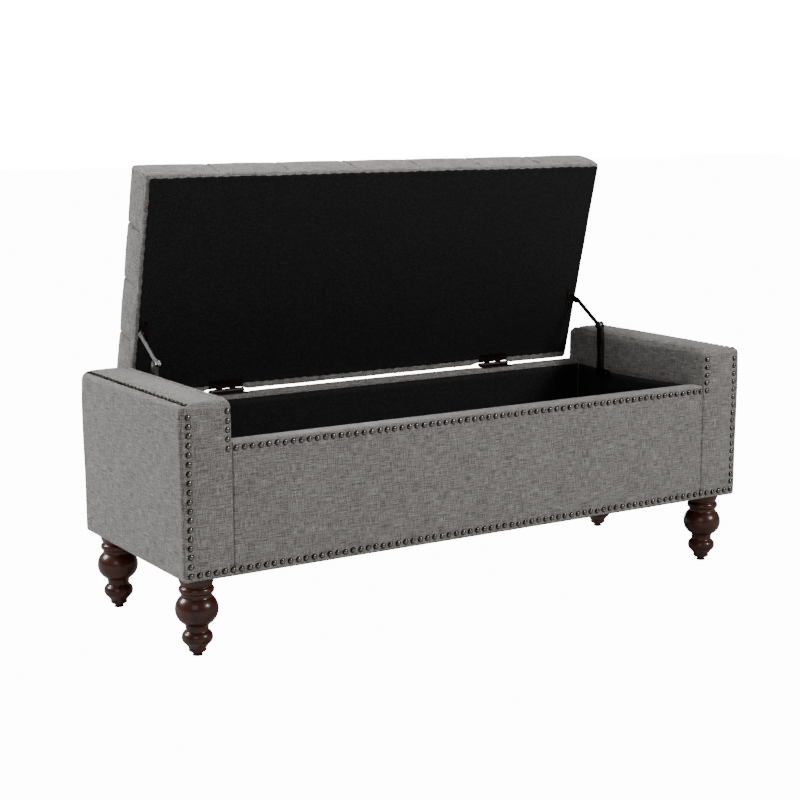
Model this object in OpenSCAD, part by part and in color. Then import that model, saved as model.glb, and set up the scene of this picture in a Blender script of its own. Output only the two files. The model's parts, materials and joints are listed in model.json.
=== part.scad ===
// Upholstered storage bench: two low arms, a hinged padded lid held open by two
// folding stays, turned legs and nailhead trim. Millimetres, X along the bench,
// Y to the back, Z up from the floor. The lid is drawn open.

/* [Body] */
// Overall length, over both arms
bench_w = 1300; // [1200:10:1400]
// Depth of the upholstered body, front to back
bench_d = 455; // [445:5:470]
// Height of the body's underside above the floor
body_z = 150; // [130:5:170]
// Height of the arm tops above the floor
arm_top_z = 469; // [460:1:480]
// Height of the front and rear rail tops above the floor
rail_top_z = 396; // [385:1:405]
// Width of each arm
arm_w = 98; // [90:1:110]
// Thickness of the front wall with its cover
front_wall_t = 40; // [36:1:48]
// Thickness of the rear wall with its cover
rear_wall_t = 31; // [31:1:40]
// Thickness of the wooden panels
board_t = 12; // [10:1:15]
// Thickness of the cover with its thin wadding
cover_t = 4; // [3:0.5:5]

/* [Lid] */
// Depth of the lid
lid_d = 453; // [430:1:453]
// Thickness of the padded lid
lid_t = 84; // [60:1:90]
// Gap between each end of the lid and the arm
lid_gap = 9; // [7:1:12]
// Tuft columns across the lid
tuft_columns = 7; // [5:1:9]

/* [Legs] */
// Distance of a leg's axis from the body's ends
leg_inset_x = 45; // [42:1:50]
// Distance of a leg's axis from the body's front and back
leg_inset_y = 50; // [45:1:55]
// Radius of the leg's large turned ball
leg_ball_r = 37.5; // [34:0.5:40]

/* [Nailheads] */
// Diameter of a nailhead
nail_d = 11; // [9:0.5:13]
// Spacing of the nailheads
nail_pitch = 16.6; // [14:0.1:22]
// Distance of a nail row from the edge that it follows
nail_inset = 12.5; // [10:0.5:16]

/* [Hinges] */
// Length of each butt hinge
hinge_w = 76; // [66:1:100]
// Distance of each hinge's middle from the middle of the lid
hinge_x = 335; // [250:5:400]

/* [Hidden] */

// Main planes. The origin is on the floor under the middle of the bench with its lid open,
// so the body's own middle lies a little ahead of it.
body_mid_y = -40;
front_y = body_mid_y - bench_d / 2;
rear_y = body_mid_y + bench_d / 2;
half_w = bench_w / 2;
arm_in = half_w - arm_w;          // inner face of each arm
left = -1;
right = 1;

// Shell and panel stack
skin = 1;                         // thin black fabric under the body
lining_t = 1.5;
lining_top_z = rail_top_z - 8;    // the cover wraps this far down inside the rails
board_z = body_z + skin;          // lower edge of every panel
wall_top_z = rail_top_z - cover_t;
core_in = arm_in + cover_t;       // face of the arm's wood
core_out = half_w - cover_t;
front_core_y = front_y + cover_t;
rear_core_y = rear_y - cover_t;
front_rail_t = front_wall_t - 2 * cover_t - board_t;
rear_rail_t = rear_wall_t - 2 * cover_t - board_t;
rail_h = 60;
cleat = 12;                       // height of the floor cleats
cleat_w = 20;
floor_z = board_z + cleat;        // underside of the bottom board
floor_top_z = floor_z + board_t;

// Arms
pad_t = 16;
arm_core_top_z = arm_top_z - cover_t;
pad_z = arm_core_top_z - pad_t;
arm_board_z = pad_z - board_t;    // underside of the arm's top board
post_t = 20;
arm_round = 10;                   // edge rounding of the arm's cover
soft_fn = 64;

// Hinges and lid. The stays' pivots below are worked out for this open angle.
open_angle = 76;
knuckle_r = 4.5;
pin_y = rear_y + 1;
pin_z = rail_top_z + knuckle_r;
pin_r = 2;
running_gap = 0.05;               // radial clearance of a pin in its bore
leaf_t = 1.8;
leaf_d = 22;                      // from the pin's axis to the leaf's free edge
knuckles = 5;
knuckle_gap = 0.3;
leaf_screw_y = pin_y - 13.5;
leaf_screw_pitch = 25;
lid_half_w = arm_in - lid_gap;
lid_under_z = pin_z + knuckle_r;
lid_rear_y = pin_y - 3;           // its edge passes clear of the knuckles
lid_front_y = lid_rear_y - lid_d;
lid_skin = 4;                     // cover and thin wadding at the lid's sides
lid_wrap = 6;                     // fabric turned onto the lid's underside
lid_round = 16;                   // rounding of the lid's corners and top edges
button_r = 10;
well_r = 12;
well_depth = 15;

// Screws
screw_r = 1.75;
screw_head_r = 3.5;
screw_l = 13;

// Folding stays: pivots in the (Y, Z) plane, measured from the hinge pin with the lid open
stay_base = [pin_y - 121.2, pin_z - 22.6];
stay_elbow = [pin_y - 118.9, pin_z + 87];
stay_lid_end = [pin_y - 42.2, pin_z + 136.2];
stay_wall_x = core_in - lining_t; // the lining's face, where the base bracket sits
bracket_t = 2;
bracket_w = 17;
bracket_round_r = 4;              // from a screw's axis to where the bracket's end begins to round
channel_x = arm_in - 9.5;         // inner edge of the lower arm's flanges
channel_d = 7.5;
channel_w = 16;
channel_t = 1.5;
upper_arm_x = channel_x - 3;
upper_arm_t = 2;
upper_arm_w = 10;
tab_x = upper_arm_x - 3.5;
tab_w = 14;
rivet_r = 3;
rivet_head_r = 5;
elbow_disc_r = 9;
boss_gap = 0.3;

// Legs
glide_h = 7;
glide_foot_h = 2;
leg_bolt_r = 4;
leg_bolt_z = 111;                 // lower end of the bolt, inside the leg
leg_bolt_grip = 30;               // how far it reaches into the block above
leg_top_z = board_z;
dust_hole_r = 33;

// Colours
linen = [0.50, 0.48, 0.45];
black_cloth = [0.05, 0.05, 0.05];
espresso = [0.11, 0.05, 0.04];
bronze = [0.28, 0.22, 0.15];
dark_steel = [0.20, 0.19, 0.18];
zinc = [0.62, 0.62, 0.62];
plywood = [0.72, 0.58, 0.40];
foam = [0.88, 0.84, 0.68];
black_plastic = [0.04, 0.04, 0.04];

// ---------- shared shapes ----------

// A box between two corners
module block(low, high) {
    translate(low) cube(high - low);
}

// Draws the right-hand piece as it is, or its mirror image on the left
module on_side(side) {
    if (side == left) mirror([1, 0, 0]) children();
    else children();
}

// Stands a (Y, Z) outline up and gives it a thickness along X
module across(x, thickness) {
    translate([x, 0, 0]) rotate([90, 0, 90]) linear_extrude(thickness) children();
}

// Turns pieces drawn with the lid closed to the open lid
module open_lid() {
    translate([0, pin_y, pin_z]) rotate([-open_angle, 0, 0]) translate([0, -pin_y, -pin_z]) children();
}

// Where a point of the open lid's (Y, Z) plane lies on the closed lid
function closed(p) = let (y = p[0] - pin_y, z = p[1] - pin_z, c = cos(open_angle), s = sin(open_angle))
    [pin_y + y * c - z * s, pin_z + y * s + z * c];

// A flat bar's outline from p to q, with round ends
module bar_outline(p, q, width) {
    d = q - p;
    translate(p) rotate(atan2(d[1], d[0])) {
        circle(d = width, $fn = 48);
        translate([norm(d), 0]) circle(d = width, $fn = 48);
        translate([0, -width / 2]) square([norm(d), width]);
    }
}

// A cylinder along X
module rod_x(p, x, length, r) {
    translate([x, p[0], p[1]]) rotate([0, 90, 0]) cylinder(h = length, r = r, $fn = 48);
}

// A block with rounded upright edges and a rounded top
module soft_block(low, high, r) {
    top_z = high[2] - r;
    block([low[0] + r, low[1] + r, low[2]], high - [r, r, 0]);
    block([low[0], low[1] + r, low[2]], [high[0], high[1] - r, top_z]);
    block([low[0] + r, low[1], low[2]], [high[0] - r, high[1], top_z]);
    for (x = [low[0] + r, high[0] - r], y = [low[1] + r, high[1] - r]) translate([x, y, 0]) {
        translate([0, 0, low[2]]) cylinder(h = top_z - low[2], r = r, $fn = soft_fn);
        translate([0, 0, top_z]) sphere(r, $fn = soft_fn);
    }
    for (x = [low[0] + r, high[0] - r])
        translate([x, low[1] + r, top_z]) rotate([-90, 0, 0])
            cylinder(h = high[1] - low[1] - 2 * r, r = r, $fn = soft_fn);
    for (y = [low[1] + r, high[1] - r])
        translate([low[0] + r, y, top_z]) rotate([0, 90, 0])
            cylinder(h = high[0] - low[0] - 2 * r, r = r, $fn = soft_fn);
}

// ---------- panels of the storage box ----------

module front_board() {
    color(plywood) block([-core_in, front_core_y, board_z], [core_in, front_core_y + board_t, wall_top_z]);
}

module rear_board() {
    color(plywood) block([-core_in, rear_core_y - board_t, board_z], [core_in, rear_core_y, wall_top_z]);
}

module front_rail() {
    y = front_core_y + board_t;
    color(plywood) block([-core_in, y, wall_top_z - rail_h], [core_in, y + front_rail_t, wall_top_z]);
}

module rear_rail() {
    y = rear_core_y - board_t - rear_rail_t;
    color(plywood) block([-core_in, y, wall_top_z - rail_h], [core_in, y + rear_rail_t, wall_top_z]);
}

module bottom_board() {
    color(plywood)
        block([-core_in, front_core_y + board_t, floor_z], [core_in, rear_core_y - board_t, floor_top_z]);
}

module floor_cleats() {
    color(plywood) {
        block([-core_in, front_core_y + board_t, board_z],
              [core_in, front_core_y + board_t + cleat_w, floor_z]);
        block([-core_in, rear_core_y - board_t - cleat_w, board_z],
              [core_in, rear_core_y - board_t, floor_z]);
    }
}

// ---------- arms ----------

module arm_outer_board(side) {
    color(plywood) on_side(side)
        block([core_out - board_t, front_core_y, board_z], [core_out, rear_core_y, arm_board_z]);
}

module arm_inner_board(side) {
    color(plywood) on_side(side)
        block([core_in, front_core_y, board_z], [core_in + board_t, rear_core_y, arm_board_z]);
}

module arm_posts(side) {
    color(plywood) on_side(side)
        for (y = [front_core_y, rear_core_y - post_t])
            block([core_in + board_t, y, board_z], [core_out - board_t, y + post_t, arm_board_z]);
}

module arm_top_board(side) {
    color(plywood) on_side(side)
        block([core_in, front_core_y, arm_board_z], [core_out, rear_core_y, pad_z]);
}

module arm_pad(side) {
    color(foam) on_side(side)
        block([core_in, front_core_y, pad_z], [core_out, rear_core_y, arm_core_top_z]);
}

module leg_blocks() {
    block_h = 35;
    reach = 2 * leg_inset_y - post_t - 2 * cover_t;
    color(plywood) for (side = [left, right]) on_side(side)
        for (y = [front_core_y + post_t, rear_core_y - post_t - reach])
            difference() {
                block([core_in + board_t, y, board_z], [core_out - board_t, y + reach, board_z + block_h]);
                leg_holes(board_z - 1, block_h + 2, leg_bolt_r);
            }
}

// ---------- upholstery ----------

// A wall's cover in profile: u runs inwards from the outer face, z up
module wall_cover_outline(wall_t, r) {
    difference() {
        union() {
            translate([0, body_z]) square([wall_t, rail_top_z - r - body_z]);
            translate([r, body_z]) square([wall_t - 2 * r, rail_top_z - body_z]);
            for (u = [r, wall_t - r]) translate([u, rail_top_z - r]) circle(r, $fn = 48);
        }
        translate([cover_t, body_z - 1]) square([wall_t - 2 * cover_t, wall_top_z - body_z + 1]);
        translate([cover_t, body_z - 1]) square([wall_t, lining_top_z - body_z + 1]);
    }
}

module front_cover() {
    color(linen) translate([0, front_y, 0]) across(-arm_in, 2 * arm_in) wall_cover_outline(front_wall_t, 5);
}

module rear_cover() {
    color(linen) translate([0, rear_y, 0]) mirror([0, 1, 0])
        across(-arm_in, 2 * arm_in) wall_cover_outline(rear_wall_t, 5);
}

module arm_cover(side) {
    color(linen) on_side(side) difference() {
        soft_block([arm_in, front_y, body_z], [half_w, rear_y, arm_top_z], arm_round);
        block([core_in, front_core_y, body_z - 1], [core_out, rear_core_y, arm_core_top_z]);
        block([arm_in - 1, front_core_y, body_z - 1], [core_in + 1, rear_core_y, lining_top_z]);
        block([arm_in - 1, front_core_y, body_z - 1], [core_in + 1, front_y + front_wall_t, rail_top_z]);
        block([arm_in - 1, rear_y - rear_wall_t, body_z - 1], [core_in + 1, rear_core_y, rail_top_z]);
    }
}

module box_lining() {
    y0 = front_y + front_wall_t - cover_t;
    y1 = rear_y - rear_wall_t + cover_t;
    color(black_cloth) difference() {
        block([-core_in, y0, floor_top_z], [core_in, y1, lining_top_z]);
        block([-core_in + lining_t, y0 + lining_t, floor_top_z + lining_t],
              [core_in - lining_t, y1 - lining_t, lining_top_z + 1]);
    }
}

module dust_cover() {
    color(black_cloth) difference() {
        block([-core_out, front_core_y, body_z], [core_out, rear_core_y, board_z]);
        for (side = [left, right]) on_side(side) leg_holes(body_z - 1, 3, dust_hole_r);
    }
}

// ---------- legs ----------

// The two holes of one side's legs
module leg_holes(z, h, r) {
    for (y = [front_y + leg_inset_y, rear_y - leg_inset_y])
        translate([half_w - leg_inset_x, y, z]) cylinder(h = h, r = r, $fn = 64);
}

// Half of the turned outline: r outwards, z up
module leg_outline() {
    neck_r = 20.5;
    foot_r = 16;
    ball_r = 28.5;
    small_ball_r = 12;
    ring_r = 7;
    top_r = 30.5;
    translate([0, glide_h]) square([foot_r, 6]);
    polygon([[0, glide_h + 4], [12.5, glide_h + 4], [15, 20], [20, 24], [neck_r, 40], [0, 40]]);
    translate([26 - small_ball_r, 32]) circle(small_ball_r, $fn = 48);
    translate([0, 32]) square([neck_r, 30]);
    intersection() {
        translate([leg_ball_r - ball_r, 78.5]) circle(ball_r, $fn = 96);
        translate([0, 40]) square([leg_ball_r + 1, 80]);
    }
    translate([0, 60]) square([24, leg_top_z - 62]);
    translate([31.3 - ring_r, 114]) circle(ring_r, $fn = 48);
    translate([0, 122.5]) square([top_r - 2, leg_top_z - 122.5]);
    translate([0, 124.5]) square([top_r, leg_top_z - 124.5]);
    translate([top_r - 2, 124.5]) circle(2, $fn = 32);
}

module leg(side, y) {
    color(espresso) on_side(side) translate([half_w - leg_inset_x, y, 0]) difference() {
        rotate_extrude($fn = 96) intersection() {
            leg_outline();
            square([leg_ball_r + 1, leg_top_z]);
        }
        translate([0, 0, leg_bolt_z]) cylinder(h = leg_top_z - leg_bolt_z + 1, r = leg_bolt_r, $fn = 48);
    }
}

module leg_bolts() {
    color(zinc) for (side = [left, right]) on_side(side)
        leg_holes(leg_bolt_z, leg_top_z + leg_bolt_grip - leg_bolt_z, leg_bolt_r);
}

module foot_glides() {
    color(black_plastic) for (side = [left, right]) on_side(side) {
        leg_holes(0, glide_foot_h, 9.5);
        leg_holes(glide_foot_h, glide_h - glide_foot_h, 8);
    }
}

// ---------- nailhead trim ----------

nail_rise = 3;

// One domed head, standing on the plane z = 0
module nailhead() {
    ball_r = (nail_d * nail_d / 4 + nail_rise * nail_rise) / (2 * nail_rise);
    intersection() {
        translate([0, 0, nail_rise - ball_r]) sphere(ball_r, $fn = 48);
        cylinder(h = nail_rise, d = nail_d, $fn = 48);
    }
}

// Heads at even steps from p to q, both ends included unless a skip says otherwise
module nail_row(p, q, facing, skip_first = 0, skip_last = 0) {
    steps = round(norm(q - p) / nail_pitch);
    color(bronze) for (i = [skip_first : steps - skip_last])
        translate(p + (q - p) * i / steps) rotate(facing) nailhead();
}

to_front = [90, 0, 0];
to_top = [0, 0, 0];
row_low_z = body_z + nail_inset;
row_rail_z = rail_top_z - nail_inset;
row_out_x = half_w - nail_inset;
row_in_x = arm_in + 10;           // the short rows beside the seat
row_top_x = half_w - 10;          // the rows along the arm tops
column_top_z = arm_top_z - 22;
arm_front_top_z = arm_top_z - 19;
row_top_front_y = front_y + 11;
row_top_rear_y = rear_y - 20;

module nails_front_bottom() {
    nail_row([-row_out_x, front_y, row_low_z], [row_out_x, front_y, row_low_z], to_front);
}

module nails_front_top() {
    nail_row([-row_in_x, front_y, row_rail_z], [row_in_x, front_y, row_rail_z], to_front, 1, 1);
}

module nails_column(side) {
    on_side(side)
        nail_row([row_out_x, front_y, row_low_z], [row_out_x, front_y, column_top_z], to_front, 1);
}

module nails_arm_front(side) {
    on_side(side)
        nail_row([row_in_x, front_y, row_rail_z], [row_in_x, front_y, arm_front_top_z], to_front);
}

module nails_arm_top(side) {
    on_side(side)
        nail_row([row_top_x, row_top_front_y, arm_top_z], [row_top_x, row_top_rear_y, arm_top_z], to_top);
}

// ---------- hinges ----------

// One leaf with its share of the knuckles, for a hinge drawn about its own middle
module hinge_leaf(first, plate_z) {
    pitch = hinge_w / knuckles;
    difference() {
        union() {
            difference() {
                block([-hinge_w / 2, pin_y - leaf_d, plate_z], [hinge_w / 2, pin_y, plate_z + leaf_t]);
                for (i = [1 - first : 2 : knuckles - 1])
                    block([-hinge_w / 2 + i * pitch - knuckle_gap, pin_y - knuckle_r - 1, pin_z - 10],
                          [-hinge_w / 2 + (i + 1) * pitch + knuckle_gap, pin_y + 10, pin_z + 10]);
            }
            for (i = [first : 2 : knuckles - 1])
                rod_x([pin_y, pin_z], -hinge_w / 2 + i * pitch, pitch, knuckle_r);
        }
        rod_x([pin_y, pin_z], -hinge_w, 2 * hinge_w, pin_r + running_gap);
        for (x = [-1 : 1]) translate([x * leaf_screw_pitch, leaf_screw_y, 0]) {
            translate([0, 0, plate_z - 1]) cylinder(h = leaf_t + 2, r = screw_r + 0.1, $fn = 48);
            translate([0, 0, plate_z]) screw_sink(plate_z > pin_z, 0.1);
        }
    }
}

// The countersink of a leaf's screw, which widens away from the wood
module screw_sink(wood_above, ease) {
    low_r = wood_above ? screw_head_r : screw_r;
    high_r = wood_above ? screw_r : screw_head_r;
    cylinder(h = leaf_t, r1 = low_r + ease, r2 = high_r + ease, $fn = 48);
}

module hinge_base_leaf(side) {
    color(bronze) translate([side * hinge_x, 0, 0]) hinge_leaf(0, pin_z - knuckle_r);
}

module hinge_lid_leaf(side) {
    color(bronze) open_lid() translate([side * hinge_x, 0, 0]) hinge_leaf(1, lid_under_z - leaf_t);
}

module hinge_pins() {
    color(bronze) for (side = [left, right]) {
        rod_x([pin_y, pin_z], side * hinge_x - hinge_w / 2 - 2, hinge_w + 4, pin_r);
        for (x = [-hinge_w / 2 - 2, hinge_w / 2 + 0.3])
            rod_x([pin_y, pin_z], side * hinge_x + x, 1.7, pin_r + 1.2);
    }
}

// Countersunk screws of the two hinges' leaves on one plane
module leaf_screws(plate_z) {
    up = plate_z > pin_z;
    for (side = [left, right], x = [-1 : 1])
        translate([side * hinge_x + x * leaf_screw_pitch, leaf_screw_y, plate_z]) {
            screw_sink(up, 0);
            translate([0, 0, up ? 0 : leaf_t - screw_l]) cylinder(h = screw_l, r = screw_r, $fn = 48);
        }
}

// ---------- folding stays (drawn on the right-hand side) ----------

base_screw_step = 13;
lid_screw_step = 11;
lid_foot_w = 18;
lid_foot_l = 40;
lid_foot_x = tab_x - lid_foot_w / 2;
floor_of_channel = channel_x + channel_d - channel_t;
base_head_l = 2.3;                // of the base rivet's head, with its gap
flange_end = 4;                   // from a pivot to where the channel's flanges begin

module stay_base_bracket(side) {
    color(dark_steel) on_side(side) difference() {
        union() {
            across(stay_wall_x - bracket_t, bracket_t)
                bar_outline(stay_base - [base_screw_step + bracket_round_r, 0],
                            stay_base + [base_screw_step + bracket_round_r, 0], bracket_w);
            rod_x(stay_base, floor_of_channel - base_head_l, stay_wall_x - floor_of_channel + base_head_l,
                  rivet_r);
            rod_x(stay_base, floor_of_channel - base_head_l, base_head_l - boss_gap, rivet_head_r);
            rod_x(stay_base, channel_x + channel_d + boss_gap, stay_wall_x - channel_x - channel_d - boss_gap,
                  rivet_head_r);
        }
        for (s = [-1, 1])
            rod_x(stay_base + [s * base_screw_step, 0], stay_wall_x - 5, 10, screw_r + 0.1);
    }
}

module stay_lower_arm(side) {
    d = stay_elbow - stay_base;
    u = d / norm(d);
    color(dark_steel) on_side(side) difference() {
        union() {
            across(floor_of_channel, channel_t) bar_outline(stay_base, stay_elbow, channel_w);
            across(channel_x, channel_d)
                translate(stay_base) rotate(atan2(u[1], u[0]))
                    for (v = [-channel_w / 2, channel_w / 2 - channel_t])
                        translate([flange_end, v]) square([norm(d) - 2 * flange_end, channel_t]);
        }
        rod_x(stay_base, channel_x - 1, channel_d + 2, rivet_r + running_gap);
        rod_x(stay_elbow, channel_x - 1, channel_d + 2, rivet_r + 0.01);
    }
}

// Shaft and heads of the elbow; it turns with the lower arm
module stay_elbow_rivet(side) {
    color(zinc) on_side(side) {
        rod_x(stay_elbow, upper_arm_x - 1.8, channel_x + channel_d - upper_arm_x + 3, rivet_r);
        rod_x(stay_elbow, channel_x + channel_d, 1.2, rivet_head_r);
        rod_x(stay_elbow, upper_arm_x + upper_arm_t + 0.2, channel_d - channel_t + 0.6, rivet_head_r - 1);
        rod_x(stay_elbow, upper_arm_x - 1.8, 1.5, elbow_disc_r);
    }
}

module stay_upper_arm(side) {
    color(zinc) on_side(side) {
        difference() {
            across(upper_arm_x, upper_arm_t) {
                bar_outline(stay_elbow, stay_lid_end, upper_arm_w);
                translate(stay_elbow) circle(8, $fn = 48);
            }
            rod_x(stay_elbow, upper_arm_x - 1, upper_arm_t + 2, rivet_r + running_gap);
        }
        rod_x(stay_lid_end, upper_arm_x + upper_arm_t, 1.2, rivet_head_r - 0.5);
    }
}

// The foot screwed under the lid and the tab beside the upper arm; the boss stops short of that
// arm, because the joint between them is left open
module stay_lid_bracket(side) {
    end = closed(stay_lid_end);
    color(zinc) open_lid() on_side(side) difference() {
        union() {
            block([tab_x - lid_foot_w, end[0] - lid_foot_l / 2, lid_under_z - bracket_t],
                  [tab_x, end[0] + lid_foot_l / 2, lid_under_z]);
            across(tab_x, bracket_t) {
                translate([end[0] - tab_w / 2, end[1]]) square([tab_w, lid_under_z - end[1]]);
                translate(end) circle(d = tab_w, $fn = 48);
            }
            rod_x(end, tab_x + bracket_t, upper_arm_x - tab_x - bracket_t - boss_gap, rivet_head_r - 0.5);
            rod_x(end, tab_x - 1.2, 1.2, rivet_head_r - 0.5);
        }
        for (s = [-1, 1])
            translate([lid_foot_x, end[0] + s * lid_screw_step, lid_under_z - 5])
                cylinder(h = 10, r = screw_r + 0.1, $fn = 48);
    }
}

// A round-headed screw through a bracket, into the wood at z = 0
module bracket_screw() {
    translate([0, 0, bracket_t]) cylinder(h = 1.6, r1 = screw_head_r, r2 = screw_head_r - 1.2, $fn = 48);
    translate([0, 0, bracket_t - screw_l]) cylinder(h = screw_l, r = screw_r, $fn = 48);
}

module base_screws() {
    color(bronze) {
        leaf_screws(pin_z - knuckle_r);
        for (side = [left, right], s = [-1, 1]) on_side(side)
            translate([stay_wall_x, stay_base[0] + s * base_screw_step, stay_base[1]])
                rotate([0, -90, 0]) bracket_screw();
    }
}

module lid_screws() {
    end = closed(stay_lid_end);
    color(bronze) open_lid() {
        leaf_screws(lid_under_z - leaf_t);
        for (side = [left, right], s = [-1, 1]) on_side(side)
            translate([lid_foot_x, end[0] + s * lid_screw_step, lid_under_z])
                rotate([180, 0, 0]) bracket_screw();
    }
}

// ---------- lid ----------

lid_core_z = lid_under_z + skin;
lid_board_top_z = lid_core_z + board_t;
lid_core_top_z = lid_under_z + lid_t - lid_skin;

module lid_board() {
    color(plywood) open_lid()
        block([-lid_half_w + lid_skin, lid_front_y + lid_skin, lid_core_z],
              [lid_half_w - lid_skin, lid_rear_y - lid_skin, lid_board_top_z]);
}

// The padding's rounded block; inset keeps it inside the cover
module lid_padding(inset, low_z, high_z) {
    soft_block([-lid_half_w + inset, lid_front_y + inset, low_z],
               [lid_half_w - inset, lid_rear_y - inset, high_z], lid_round - inset);
}

// The places of the tuft buttons: offset rows at quarters of the depth
module at_tufts() {
    pitch = 2 * lid_half_w / tuft_columns;
    for (row = [1 : 3]) {
        count = row == 2 ? tuft_columns : tuft_columns - 1;
        for (i = [0 : count - 1])
            translate([(i - (count - 1) / 2) * pitch, lid_front_y + row * lid_d / 4, 0]) children();
    }
}

module lid_foam() {
    color(foam) open_lid() difference() {
        lid_padding(lid_skin, lid_board_top_z, lid_core_top_z);
        at_tufts() translate([0, 0, lid_core_top_z + lid_skin - well_depth])
            cylinder(h = well_depth, r = well_r, $fn = 48);
    }
}

module lid_cover() {
    color(linen) open_lid() difference() {
        lid_padding(0, lid_under_z, lid_under_z + lid_t);
        block([-lid_half_w + lid_skin, lid_front_y + lid_skin, lid_core_z],
              [lid_half_w - lid_skin, lid_rear_y - lid_skin, lid_board_top_z + 2 * skin]);
        lid_padding(lid_skin, lid_board_top_z + skin, lid_core_top_z);
        block([-lid_half_w + lid_wrap, lid_front_y + lid_wrap, lid_under_z - 1],
              [lid_half_w - lid_wrap, lid_rear_y - lid_wrap, lid_board_top_z]);
        at_tufts() translate([0, 0, lid_core_top_z - 1]) cylinder(h = lid_skin + 2, r = well_r, $fn = 48);
    }
}

module lid_lining() {
    color(black_cloth) open_lid()
        block([-lid_half_w + lid_wrap, lid_front_y + lid_wrap, lid_under_z],
              [lid_half_w - lid_wrap, lid_rear_y - lid_wrap, lid_core_z]);
}

module lid_buttons() {
    button_z = lid_core_top_z + lid_skin - well_depth;
    color(linen) open_lid() at_tufts() {
        translate([0, 0, button_z]) cylinder(h = 3, r = button_r, $fn = 48);
        translate([0, 0, button_z + 3]) cylinder(h = 3, r1 = button_r, r2 = button_r - 4, $fn = 48);
    }
}

front_board();
rear_board();
bottom_board();
front_rail();
rear_rail();
floor_cleats();
arm_outer_board(left);  // left_arm_outer_board
arm_inner_board(left);  // left_arm_inner_board
arm_posts(left);  // left_arm_posts
arm_top_board(left);  // left_arm_top_board
arm_outer_board(right);  // right_arm_outer_board
arm_inner_board(right);  // right_arm_inner_board
arm_posts(right);  // right_arm_posts
arm_top_board(right);  // right_arm_top_board
leg_blocks();
arm_pad(left);  // left_arm_pad
arm_pad(right);  // right_arm_pad
front_cover();
rear_cover();
arm_cover(left);  // left_arm_cover
arm_cover(right);  // right_arm_cover
box_lining();
dust_cover();
leg(left, front_y + leg_inset_y);  // front_left_leg
leg(right, front_y + leg_inset_y);  // front_right_leg
leg(left, rear_y - leg_inset_y);  // rear_left_leg
leg(right, rear_y - leg_inset_y);  // rear_right_leg
leg_bolts();
foot_glides();
nails_front_bottom();
nails_front_top();
nails_column(left);  // nails_left_column
nails_column(right);  // nails_right_column
nails_arm_front(left);  // nails_left_arm_front
nails_arm_front(right);  // nails_right_arm_front
nails_arm_top(left);  // nails_left_arm_top
nails_arm_top(right);  // nails_right_arm_top
hinge_base_leaf(left);  // left_hinge_base_leaf
hinge_base_leaf(right);  // right_hinge_base_leaf
hinge_pins();
base_screws();
stay_base_bracket(left);  // left_stay_base_bracket
stay_base_bracket(right);  // right_stay_base_bracket
stay_lower_arm(left);  // left_stay_lower_arm
stay_lower_arm(right);  // right_stay_lower_arm
stay_elbow_rivet(left);  // left_stay_elbow_rivet
stay_elbow_rivet(right);  // right_stay_elbow_rivet
stay_upper_arm(left);  // left_stay_upper_arm
stay_upper_arm(right);  // right_stay_upper_arm
lid_board();
lid_foam();
lid_cover();
lid_lining();
lid_buttons();
hinge_lid_leaf(left);  // left_hinge_lid_leaf
hinge_lid_leaf(right);  // right_hinge_lid_leaf
lid_screws();
stay_lid_bracket(left);  // left_stay_lid_bracket
stay_lid_bracket(right);  // right_stay_lid_bracket
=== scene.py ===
"""Looks of the upholstered storage bench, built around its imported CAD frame."""
import json
import math

import bpy
import numpy as np
from mathutils import Matrix, Vector


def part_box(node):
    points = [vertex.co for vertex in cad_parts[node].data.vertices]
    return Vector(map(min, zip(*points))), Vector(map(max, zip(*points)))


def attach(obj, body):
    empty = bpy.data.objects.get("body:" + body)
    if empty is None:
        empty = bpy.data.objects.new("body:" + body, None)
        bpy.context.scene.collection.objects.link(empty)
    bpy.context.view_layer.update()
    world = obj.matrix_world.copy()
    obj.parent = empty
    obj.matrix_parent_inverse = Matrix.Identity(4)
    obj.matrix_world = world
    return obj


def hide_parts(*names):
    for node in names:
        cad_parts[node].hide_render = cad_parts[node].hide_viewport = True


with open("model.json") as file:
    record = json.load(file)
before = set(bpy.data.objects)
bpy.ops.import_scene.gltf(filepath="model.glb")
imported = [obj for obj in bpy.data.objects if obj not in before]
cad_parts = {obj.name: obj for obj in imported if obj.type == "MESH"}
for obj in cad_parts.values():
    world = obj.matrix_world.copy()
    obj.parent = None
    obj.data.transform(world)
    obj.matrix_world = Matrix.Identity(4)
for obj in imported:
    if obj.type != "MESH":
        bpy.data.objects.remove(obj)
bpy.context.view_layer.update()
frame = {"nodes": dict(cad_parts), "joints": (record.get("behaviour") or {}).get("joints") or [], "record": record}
rng = np.random.default_rng(7)
MM = 0.001
TOUCH = 1e-6        # points nearer than this to a plane are in it

# ---------------------------------------------------------------- places, from the frame


def span(node):
    """Lowest and highest corner of a CAD node as arrays."""
    low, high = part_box(node)
    return np.array(low), np.array(high)


FRONT_LOW, FRONT_HIGH = span("front_cover")
REAR_LOW, REAR_HIGH = span("rear_cover")
ARM_LOW, ARM_HIGH = span("right_arm_cover")
BOX_LOW, BOX_HIGH = span("box_lining")
ARM_IN, RAIL_TOP = ARM_LOW[0], FRONT_HIGH[2]
BODY_MID_Y = (ARM_LOW[1] + ARM_HIGH[1]) / 2

PIN = np.array(next(j["pos_m"] for j in frame["joints"] if j["name"] == "lid_hinge"))


def read_points(mesh):
    """A mesh's points, one (x, y, z) row each."""
    points = np.zeros(len(mesh.vertices) * 3)
    mesh.vertices.foreach_get("co", points)
    return points.reshape(-1, 3)


def points_of(node):
    """The points of a CAD node."""
    return read_points(frame["nodes"][node].data)


def lid_lean():
    """The open lid's angle from the closed one, read from the face of its lining."""
    face = max(frame["nodes"]["lid_lining"].data.polygons, key=lambda p: p.area)
    return math.atan2(abs(face.normal.y), abs(face.normal.z))


LID_ANGLE = lid_lean()


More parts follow.
